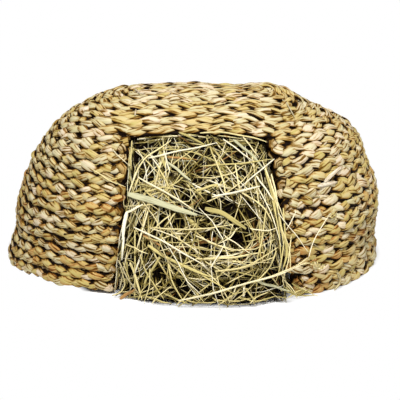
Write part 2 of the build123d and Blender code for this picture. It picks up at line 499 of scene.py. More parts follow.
def doorAngle(number, side):
    # how far back round an end a course begins, on the doorway's left, -1, or right, 1
    meetsFold = number > 1 and (number + (side < 0)) % 2 == 0
    shift, radius, height = onDome(courseReach(number - 1 if meetsFold else number))
    outside = side * (doorEdge(side, height) - shift) - core
    plain = side < 0 and number in (1, hut["wallCourses"])
    further = plain * plait["plainEnd"] + (side < 0 and number > 2) * plait["leftEnd"]
    return math.asin((outside + pitch / 2 + halfCourse - further) / radius)


def foldPath():
    # the half turn up to the next course, squarer than a half circle, as far onward and as far up
    angle = np.linspace(0, math.pi, 200)
    square = 2 / plait["foldSquareness"]
    depth, spread = plait["foldDent"]
    dent = 1 - depth * bell(angle, math.pi / 2, spread)
    onward = pitch / 2 * np.sin(angle) ** square * dent
    upward = pitch / 2 * (1 - np.sign(np.cos(angle)) * np.abs(np.cos(angle)) ** square)
    reach = travelled(rowsOf(onward, upward))
    steps = np.linspace(0, reach[-1], int(reach[-1] / plait["step"] * plait["foldFineness"]))[1:]
    return rowsOf(np.interp(steps, reach, onward), np.interp(steps, reach, upward))


def wallCourse(number, phase):
    # odd courses run from the left of the doorway to the right, even ones back again
    points, stations = roundBack(courseReach(number), doorAngle(number, -1), doorAngle(number, 1))
    if number % 2 == 0:
        points, stations = points[::-1], stations[::-1]
    up, outward = wallDirections(stations)
    points = strayed(points, up, outward, 1)
    folded = number < hut["wallCourses"]
    if folded:
        turn = foldPath()
        way = unit(points[-1] - points[-3])
        sunk = plait["foldRecess"] * np.sin(np.pi * turn[:, 1:] / pitch)
        fold = points[-1] + way * turn[:, :1] + up[-1] * turn[:, 1:] - outward[-1] * sunk
        points = np.concatenate([points, fold])
        outward = np.concatenate([outward, np.repeat(outward[-1:], len(turn), 0)])
    along = travelled(points)
    left = along[-1] - along
    tight = np.exp(-along / plait["foldStretch"]) + np.exp(-left / plait["foldStretch"])
    size = np.ones(len(points))
    facing = np.full(len(points), 1.0 if number % 2 == 0 else -1.0)
    if folded:
        waist = smooth(left, *plait["foldSlims"]) - smooth(left, plait["foldSlims"][1], 0)
        size = 1 - plait["foldSlimming"] * waist
        facing *= 1 - 2 * smooth(left, *plait["foldTurns"])
    light = 1 - plait["jambShade"] * smooth(left, *plait["foldShades"])
    return braid(f"plaitCourse{number:02d}", points, outward, size, np.clip(tight, 0, 1), phase,
                 plait["paintedSheen"] * smooth(number, *plait["paintedSheenCourses"]), light, facing)


def crownCoil(phase):
    # from the tapered end tucked under at the right to the middle of the crown
    first = hut["wallCourses"] + 1
    step = plait["step"] / plait["tuckedRadius"]
    angle = np.arange(plait["tuckedFrom"] * math.pi, math.pi, step)
    runs = [aroundEnd(1, angle, courseReach(first) - pitch / 2 + pitch * (1 - np.cos(angle)) / 4)]
    startX = onDome(courseReach(first - 1))[0]
    for number in range(first, lastCourse + 1):
        reach = courseReach(number)
        shift = onDome(reach)[0]
        runs.append(straightRun(1, startX + core, shift - core, reach))
        if number < lastCourse:
            runs.append(roundEnd(-1, math.pi, 0, reach))
            runs.append(straightRun(-1, shift - core, shift + core, reach))
            runs.append(climbingEnd(number))
        startX = shift
    points, stations = joined(runs)
    up, outward = wallDirections(stations)
    points = strayed(points, up, outward, plait["crownFirmness"])
    whole = np.ones(len(points))
    size = whole.copy()
    size[:len(angle)] = np.clip((1 - np.cos(angle)) / 2, plait["tuckedSize"], 1)
    return braid("plaitCoil", points, outward, size, 0 * whole, phase, plait["paintedSheen"], whole,
                 whole)[0]


# Shader building

class Signal:
    # a node's output, so that sums on it are written as sums
    def __init__(self, finish, socket):
        self.finish = finish
        self.socket = socket

    def join(self, operation, first, second):
        return self.finish.add("Math", {"operation": operation}, {0: first, 1: second})

    def __add__(self, other):
        return self.join("ADD", self, other)

    def __sub__(self, other):
        return self.join("SUBTRACT", self, other)

    def __rsub__(self, other):
        return self.join("SUBTRACT", other, self)

    def __mul__(self, other):
        return self.join("MULTIPLY", self, other)

    def __pow__(self, other):
        return self.join("POWER", self, other)

    def atLeast(self, other):
        return self.join("MAXIMUM", self, other)

    def atMost(self, other):
        return self.join("MINIMUM", self, other)

    def magnitude(self):
        return self.join("ABSOLUTE", self, 0.0)

    __radd__ = __add__
    __rmul__ = __mul__


class Finish:
    # the nodes of a material or of the world, and the one way to add to them
    def __init__(self, owner):
        owner.use_nodes = True
        self.material = owner
        self.tree = owner.node_tree
        self.surface = self.tree.nodes.get("Principled BSDF")

    def add(self, kind, settings=None, inputs=None, output=0):
        made = self.tree.nodes.new("ShaderNode" + kind)
        for key, value in (settings or {}).items():
            if key == "stops":
                ramp = made.color_ramp
                while len(ramp.elements) < len(value):
                    ramp.elements.new(0.5)
                for element, (position, colour) in zip(ramp.elements, value):
                    element.position, element.color = position, colour
            else:
                setattr(made, key, value)
        for key, value in (inputs or {}).items():
            self.feed(made.inputs[key], value)
        return Signal(self, made.outputs[output])

    def feed(self, socket, value):
        if isinstance(value, Signal):
            self.tree.links.new(value.socket, socket)
        else:
            socket.default_value = value

    def mix(self, first, second, share, blend="MIX"):
        settings = {"data_type": "RGBA", "blend_type": blend}
        return self.add("Mix", settings, {0: share, 6: first, 7: second}, 2)

    def between(self, value, low, high, first=0.0, last=1.0):
        return self.add("MapRange", {}, {0: value, 1: low, 2: high, 3: first, 4: last})

    def attribute(self, name):
        return self.add("Attribute", {"attribute_name": name}, output=2)

    def streaks(self, along, around, detail):
        # noise drawn out along each strand or stem
        uv = self.add("UVMap", {"uv_map": "along"})
        drawn = self.add("VectorMath", {"operation": "MULTIPLY"}, {0: uv, 1: (along, around, 1)})
        return self.add("TexNoise", {"noise_dimensions": "2D"},
                        {"Vector": drawn, "Scale": 1, "Detail": detail})

    def shaded(self, colour, lift, look):
        # the colour in the open, then a painted shade tint over it as it lies deeper, and at last
        # the painted groove shade
        shadeTint = self.mix(colour, look["shadeTint"], 1.0, "MULTIPLY")
        deep = self.mix(look["groove"], shadeTint, self.between(lift, *look["deep"]))
        return self.mix(deep, colour, self.between(lift, *look["open"]))

    def paint(self, colour, look):
        self.feed(self.surface.inputs["Base Color"], colour)
        self.surface.inputs["Roughness"].default_value = look["roughness"]
        self.surface.inputs["Specular IOR Level"].default_value = look["gloss"]
        return self.material


def newFinish(name):
    return Finish(bpy.data.materials.new(name))


plaitColours = {
    "stops": [
        (0.00, screen(148, 98, 52)),
        (0.12, screen(184, 138, 78)),
        (0.26, screen(200, 168, 106)),
        (0.38, screen(188, 174, 106)),
        (0.50, screen(206, 185, 128)),
        (0.64, screen(198, 189, 144)),
        (0.76, screen(212, 203, 168)),
        (0.88, screen(220, 203, 174)),
        (1.00, screen(234, 227, 206)),
    ],
    # painted shade: near black deep in the grooves between strands, and a brown tint laid over the
    # colour as it goes into shade
    "groove": screen(18, 6, 0),
    "shadeTint": (0.51, 0.29, 0.07, 1),
    "leaf": (38, 6, 2),       # streaks: how close along a strand and around it, and their detail
    "fibre": (70, 13, 3),
    "leafShare": 0.50,
    "fibreShare": 0.30,
    "toneShare": 0.66,
    "darker": 0.21,
    "fibreLift": (0.34, 0.49, 0.50),
    "deep": (0.32, 0.74),     # lifts at which the painted groove shade ends, and the painted shade tint begins
    "open": (0.60, 1.04),     # and where the painted shade tint ends and its own colour begins
    "roughness": 0.62,
    "gloss": 0.07,
    "bumpStrength": 0.9,
    "bumpDepth": 0.0011,
}


def plaitFinish():
    finish = newFinish("driedGrassPlait")
    fibre = finish.streaks(*plaitColours["fibre"])
    leaf = finish.streaks(*plaitColours["leaf"])
    shade = finish.attribute("tone") * plaitColours["toneShare"] + leaf * plaitColours["leafShare"]
    shade = shade + fibre * plaitColours["fibreShare"] - plaitColours["darker"]
    colour = finish.add("ValToRGB", {"stops": plaitColours["stops"]}, {0: shade})
    # how far a spot is in the open: its painted lift, darker still along the fibre streaks as
    # painted shade in their fine creases
    shown = finish.between(fibre, *plaitColours["fibreLift"]) * finish.attribute("lift")
    bump = finish.add("Bump", {}, {"Height": fibre * 0.6 + leaf * 0.4,
                                   "Strength": plaitColours["bumpStrength"],
                                   "Distance": plaitColours["bumpDepth"]})
    finish.feed(finish.surface.inputs["Normal"], bump)
    return finish.paint(finish.shaded(colour, shown, plaitColours), plaitColours)


def place(mesh, material, body, node):
    piece = bpy.data.objects.new(mesh.name, mesh)
    bpy.context.scene.collection.objects.link(piece)
    mesh.materials.append(material)
    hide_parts(node)
    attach(piece, body)


plaited = plaitFinish()
phase = 0.0
for number in range(1, hut["wallCourses"] + 1):
    mesh, phase = wallCourse(number, phase)
    place(mesh, plaited, "hut", f"wall_course_{number:02d}")
print("wall courses done")
place(crownCoil(phase), plaited, "hut", "dome_coil")
print("coil done")


# The seam threads, deep between the courses

seam = {
    "halfThickness": 0.0008,
    "stitch": 0.014,          # length of one stitch
    "swing": 0.0012,
    "startBack": 0.007,
    "twists": 60.0,
    "dark": screen(120, 95, 60),
    "light": screen(168, 142, 96),
    "roughness": 0.7,
    "gloss": 0.5,
}


def seamThread(number):
    reach = courseReach(number + 0.5)
    starts = [doorAngle(number, side) + seam["startBack"] / onDome(reach)[1] for side in (-1, 1)]
    if number == hut["wallCourses"]:
        starts[0] = 0
    points, stations = [part[::2] for part in roundBack(reach, *starts)]
    up, outward = wallDirections(stations)
    along = travelled(points)
    points = points + up * (seam["swing"] * np.sin(along * 2 * math.pi / seam["stitch"]))[:, None]
    half = np.full(len(points), seam["halfThickness"])
    rings = handMade(ringsFacing(points, outward, half, 1, 6))
    return buildTubes(f"seamThread{number:02d}", [(rings, along[-1])])


def threadFinish():
    finish = newFinish("sewingThread")
    uv = finish.add("UVMap", {"uv_map": "along"})
    twist = finish.add("TexWave", {"bands_direction": "DIAGONAL"},
                       {"Vector": uv, "Scale": seam["twists"]})
    return finish.paint(finish.mix(seam["dark"], seam["light"], twist), seam)


sewn = threadFinish()
for number in range(1, hut["wallCourses"] + 1):
    place(seamThread(number), sewn, "hut", f"seam_thread_{number:02d}")
print("threads done")


# The view that the photograph was taken from

view = {
    "elevation": 18.0,
    "turn": 4.33,
    "distance": 1.146,
    "aim": (0.0, 0.009, 0.0812),
    "lens": 108.0,
    "sensor": 36.0,
    "shift": (0.01965, -0.0837),
    "picture": 400,           # the photograph's side in pixels
    "nearest": 0.85,          # the object lies between these two distances
    "furthest": 1.35,
}
viewUp, viewTurn = math.radians(view["elevation"]), math.radians(view["turn"])
viewBack = np.array([math.sin(viewTurn) * math.cos(viewUp), -math.cos(viewTurn) * math.cos(viewUp),
                     math.sin(viewUp)])
viewRight = np.array([math.cos(viewTurn), math.sin(viewTurn), 0.0])
viewAbove = np.cross(viewBack, viewRight)
eyePlace = np.array(view["aim"]) + view["distance"] * viewBack


# The hay: a lump painted near black for the shade deep inside it, covered in loose stems and
# leaves

chance = np.random.default_rng(12)
hay = {
    "frontBulge": 0.018,
    "waistBulge": 0.004,
    "waistHeight": 0.070,
    "topRecess": 0.003,
    "topRise": 0.0065,        # how far the hay swells up under the lintel
    "topRiseSpread": 0.052,
    "cornersBack": 0.016,     # how far the two foot corners of the front are rounded back
    "cornersWithin": 0.85,    # share of half the width from which they are fully back
    "cornersHeight": (0.005, 0.050),
    "clearance": 0.003,
    "reachInside": 0.084,
    "cornerRadius": 0.004,
    "bottom": 0.0006,
    "bulgeEnds": (0.002, 0.016),  # how far past the doorway the front's bulge runs out
    "half": (0.067, 0.045, 0.063),  # about half its width, depth and height
    "pixel": 0.00080,         # size of a pixel of the view on the hay
    "lumpDepth": 0.015,       # how far the lump, painted dark as shade, lies under the hay's outline
    "lumps": 9,
    "lumpWaves": (180, 420),
    "lumpiness": 0.0022,
    "lumpFoot": 0.62,         # how much less far back it lies at its foot
    "lumpSides": 0.6,         # and at its sides
    "lumpFloorGap": 0.001,
    "stemRings": 7,
    "kinked": 0.22,           # share of the stems with a sharp bend
    "kink": 1.1,
    "kinkPlace": (0.3, 0.7),
    "slant": 0.07,            # how steeply a stem goes in or out
    "wave": 0.0005,
    "mostAbove": 0.003,
    "unruly": 0.20,           # share of the front's stems that follow no drift
    "farDrift": 0.02,         # how likely a stem is to follow a far one
    "overhang": 1.04,         # how far stems reach past the edges, 1 for not at all
    "drawnIn": 0.90,          # where those end that reach too far
    "frontLimit": 1.07,
    "topLimit": 1.02,
    "highestTone": 0.86,
    "shaded": (-0.0008, 0.0053),  # depths between which a stem goes into full shade
    "fullShade": 0.97,
    "stemLift": (0.7, 1),     # lift of a stem as a whole
    "patchy": (0.25, 1.95),   # and along it, 1 or more for full light
    "stemFacing": (0, -1, 0.3),  # which way its flat side is turned, and how unevenly
    "unevenFacing": 0.6,
    "streakLength": 0.05,
    "standoutWaves": [(1, 0.0005, 9), (2, 0.0002, 11)],  # axis, size and rate
    "hollowDepth": 0.008,
    "hollowReach": 1.3,
    "sinking": 0.86,          # share of the stems that dip into the hollows
    "floorGap": 0.0003,
}
# The kinds of stem; flatness is thickness over width, and tone a middle and a spread
stemKinds = {
    "fine": {"length": (0.012, 0.064), "halfWidth": (0.00024, 0.00056), "flatness": 0.75,
             "bend": 0.9, "depth": (-0.0012, 0.014), "tone": (0.56, 0.27)},
    "long": {"length": (0.050, 0.125), "halfWidth": (0.00042, 0.00085), "flatness": 0.70,
             "bend": 0.9, "depth": (-0.0026, 0.0034), "tone": (0.70, 0.15)},
    "leaf": {"length": (0.025, 0.070), "halfWidth": (0.00120, 0.00230), "flatness": 0.15,
             "bend": 0.6, "depth": (0.0005, 0.009), "tone": (0.42, 0.20)},
}
# Stems of another colour: their share, and their lowest and highest tone
oddTones = [
    (0.05, 0.885, 0.91),      # pale grey-green
    (0.045, 0.93, 1.0),       # brown
]
hayTop = lintelHeight - hay["clearance"]
wallFoot = hut["middleY"] - hut["depth"] / 2
frontCurve = np.polyfit(
    [0, hay["waistHeight"], hayTop],
    [wallFoot - hay["frontBulge"],
     wallFront(0, hay["waistHeight"]) - hay["waistBulge"],
     wallFront(0, hayTop) + hay["topRecess"]], 2)
hayBack = wallFoot + hay["reachInside"]


def haySides(height):
    left = doorEdge(-1, height) + hay["clearance"]
    right = doorEdge(1, height) - hay["clearance"]
    below = np.clip(height - (hayTop - hay["cornerRadius"]), 0, hay["cornerRadius"])
    rounding = hay["cornerRadius"] - np.sqrt(hay["cornerRadius"] ** 2 - below ** 2)
    return left + rounding, right - rounding


def hayFront(across, height):
    # y of the hay's front face
    cornerward = np.minimum(np.abs(across) / hay["cornersWithin"], 1) ** 3
    cornerward = cornerward * (1 - smooth(height, *hay["cornersHeight"]))
    return np.polyval(frontCurve, height) + hay["cornersBack"] * cornerward


def inHay(across, back, up):
    # a point of the hay from its shares across, back and up, each from -1 to 1
    left, right = haySides(hay["bottom"] + (up + 1) / 2 * (hayTop - hay["bottom"]))
    x = (left + right) / 2 + across * (right - left) / 2
    top = hayTop + hay["topRise"] * bell(x, doorway["shift"][1], hay["topRiseSpread"])
    height = hay["bottom"] + (up + 1) / 2 * (top - hay["bottom"])
    front = hayFront(across, height)
    return np.stack([x, front + (back + 1) / 2 * (hayBack - front), height], -1)


def buildLump():
    mesh = bpy.data.meshes.new("hayShadeLump")
    bm = bmesh.new()
    bmesh.ops.create_cube(bm, size=2)
    bmesh.ops.subdivide_edges(bm, edges=bm.edges, cuts=17, use_grid_fill=True)
    bm.to_mesh(mesh)
    bm.free()
    across, back, up = pointsOf(mesh).T
    depthAcross, depthBack, depthUp = hay["lumpDepth"] / np.array(hay["half"])
    depthBack = depthBack * fromTo((hay["lumpFoot"], 1), smooth(up, -1, -0.45))
    across, back = across * (1 - hay["lumpSides"] * depthAcross), back * (1 - depthBack)
    points = inHay(across, back, np.minimum(up, 1 - depthUp))
    lumps = hay["lumps"]
    lumpWay = unit(chance.normal(size=(lumps, 3)))
    lumpWay = lumpWay * chance.uniform(*hay["lumpWaves"], lumps)[:, None]
    push = unit(chance.normal(size=(lumps, 3))) * hay["lumpiness"]
    points = points + np.sin(points @ lumpWay.T + chance.uniform(0, 6, lumps)) @ push
    points = aboveFloor(points, hay["lumpFloorGap"])
    mesh.vertices.foreach_set("co", points.astype(np.float32).ravel())
    bm = bmesh.new()
    bm.from_mesh(mesh)
    return closeMesh(bm, mesh)


# Which way the stems lie in each part of the front: across, up, how far it holds, degrees from
# level, spread, and how far a stem turns upwards along its length
drifts = [
    (-0.92, 0.10, 0.22, 86, 10, 0.0),
    (-0.80, -0.60, 0.30, 82, 22, 0.3),
    (-0.60, 0.50, 0.35, 58, 30, -0.4),
    (0.00, 0.88, 0.35, 10, 22, -0.4),
    (0.10, 0.55, 0.30, 6, 20, -0.2),
    (-0.30, 0.10, 0.35, -32, 20, 0.3),
    (0.92, 0.20, 0.22, -78, 10, 0.0),
    (0.92, -0.40, 0.22, 78, 16, 0.3),
    (0.45, 0.60, 0.35, -42, 18, -0.2),
    (0.45, -0.60, 0.40, 32, 22, 0.8),
    (-0.25, -0.45, 0.35, -30, 16, 0.8),
    (0.12, -0.30, 0.30, -4, 16, 0.8),
    (0.10, -0.90, 0.40, -10, 28, 0.8),
    (0.20, 0.05, 0.35, 8, 50, 0.3),
]
# Hollows in the front, read off the photograph: across, up, how far across, how far up
hollows = [
    (0.02, 0.56, 0.20, 0.075),
    (-0.33, 0.69, 0.09, 0.06),
    (0.18, 0.21, 0.13, 0.06),
    (0.56, 0.16, 0.12, 0.09),
    (-0.60, 0.02, 0.12, 0.07),
    (-0.34, 0.02, 0.13, 0.05),
    (-0.56, 0.67, 0.10, 0.08),
    (-0.88, 0.82, 0.08, 0.08),
    (0.80, 0.95, 0.10, 0.05),
    (-0.15, 0.31, 0.10, 0.04),
    (-0.83, -0.20, 0.06, 0.14),
    (-0.88, -0.72, 0.06, 0.14),
    (-0.45, -0.66, 0.12, 0.06),
    (-0.17, -0.75, 0.13, 0.06),
    (0.14, -0.90, 0.16, 0.05),
    (0.05, -0.26, 0.14, 0.04),
    (0.52, -0.12, 0.12, 0.05),
    (0.88, -0.62, 0.07, 0.10),
    (0.45, -0.78, 0.10, 0.05),
]


def headings(across, up):
    # a heading and a turning for each stem of the front, from the drift that it happens to lie in
    driftAcross, driftUp, reach, middle, spread, turning = np.array(drifts).T
    far = np.hypot(across[:, None] - driftAcross, up[:, None] - driftUp) / reach
    weight = np.exp(-far ** 2) + hay["farDrift"]
    soFar = np.cumsum(weight, 1) / weight.sum(1, keepdims=True)
    picked = (soFar < chance.uniform(size=(len(up), 1))).sum(1)
    heading = np.radians(chance.normal(middle[picked], spread[picked]))
    unruly = chance.uniform(size=len(up)) < hay["unruly"]
    heading = np.where(unruly, chance.uniform(0, math.pi, len(up)), heading)
    return heading, np.where(unruly, 0, turning[picked])


def hollowed(across, up):
    # how far inside a hollow of the front, from 0 to 1
    inside = sum(bell(across, a, wide) * bell(up, u, high) for a, u, wide, high in hollows)
    return np.clip(inside * hay["hollowReach"], 0, 1)


def stemLines(count, face, kind):
    # lines of loose stems just under one face of the hay, and how far under it each point lies;
    # a face is its axis, 0 across, 1 back, 2 up, and its side, -1 or 1
    axis, side = face
    first, second = [other for other in (0, 1, 2) if other != axis]
    rings = hay["stemRings"]
    spot = chance.uniform(-1, 1, (count, 2))
    length = chance.uniform(*kind["length"], count)[:, None]
    isFront = axis == 1 and side < 0
    heading, turning = headings(*spot.T) if isFront else (chance.uniform(0, math.pi, count), 0)
    share = np.linspace(0, 1, rings)
    bend = turning + chance.normal(0, kind["bend"], count)
    kinked = chance.uniform(size=count) < hay["kinked"]
    kink = np.where(kinked, chance.normal(0, hay["kink"], count), 0)
    bent = share > chance.uniform(*hay["kinkPlace"], (count, 1))
    turn = heading[:, None] + bend[:, None] * (share - 0.5) + kink[:, None] * bent
    step = length[..., None] / (rings - 1)
    line = np.cumsum(np.stack([np.cos(turn), np.sin(turn)], -1) * step, 1)
    line = line - line[:, rings // 2:rings // 2 + 1]
    under = fromTo(kind["depth"], chance.uniform(0, 1, (count, 1)) ** 0.75)
    under = under + chance.normal(0, hay["slant"], (count, 1)) * (share - 0.5) * length
    under = under + chance.normal(0, hay["wave"], (count, rings))
    shares = np.zeros((count, rings, 3))
    shares[..., first] = spot[:, :1] + line[..., 0] / hay["half"][first]
    shares[..., second] = spot[:, 1:] + line[..., 1] / hay["half"][second]
    if isFront:
        sinks = chance.uniform(size=(count, 1)) < hay["sinking"]
        inside = hollowed(shares[..., first], shares[..., second])
        under = under + hay["hollowDepth"] * sinks * inside
    shares[..., axis] = side * (1 - np.maximum(under, -hay["mostAbove"]) / hay["half"][axis])
    for part in (first, second):  # a stem that reaches too far past an edge is drawn in
        edge = chance.uniform(hay["drawnIn"], hay["overhang"], (count, 1))
        shares[..., part] -= np.maximum(shares[..., part].max(1, keepdims=True) - edge, 0)
        shares[..., part] += np.maximum(-edge - shares[..., part].min(1, keepdims=True), 0)
    kept = (np.abs(shares[..., [first, second]]) > hay["overhang"]).any(2).sum(1) <= 1
    limit = np.array([hay["overhang"], hay["frontLimit"], hay["topLimit"]])
    shares = np.clip(shares[kept], -limit, limit)
    return inHay(*np.moveaxis(shares, -1, 0)), under[kept]


def looseHay(name, faces):
    # faces: a face of the hay, a kind of stem and how many of them
    stems = []
    rings = hay["stemRings"]
    taper = np.interp(np.linspace(0, 1, rings), [0, 0.15, 0.7, 1], [0.75, 1, 0.95, 0.45])
    for face, kindName, count in faces:
        kind = stemKinds[kindName]
        lines, depth = stemLines(count, face, kind)
        kept = len(lines)
        halfWidth = fromTo(kind["halfWidth"], chance.uniform(0, 1, (kept, 1)) ** 1.5) * taper
        facing = hay["stemFacing"] + chance.normal(0, hay["unevenFacing"], (kept, 1, 3))
        tubes = ringsFacing(lines, facing, halfWidth, kind["flatness"], 4)
        tubes = aboveFloor(tubes, hay["floorGap"])
        tone = np.clip(chance.normal(*kind["tone"], kept), 0, hay["highestTone"])
        for part, lowest, highest in oddTones:
            odd = chance.uniform(size=kept) < part
            tone = np.where(odd, chance.uniform(lowest, highest, kept), tone)
        # painted shade: a stem is darker the deeper it lies under the face, some darker as a
        # whole, and in patches along it as if crossed by shadows
        lift = 1 - hay["fullShade"] * smooth(depth, *hay["shaded"])
        lift = lift * chance.uniform(*hay["stemLift"], (kept, 1))
        lift = lift * np.clip(chance.uniform(*hay["patchy"], (kept, rings)), 0, 1)
        tones = np.repeat(tone[:, None], rings, 1)
        stems += zip(tubes, [hay["streakLength"]] * kept, tones, lift)
    return buildTubes(name, stems)
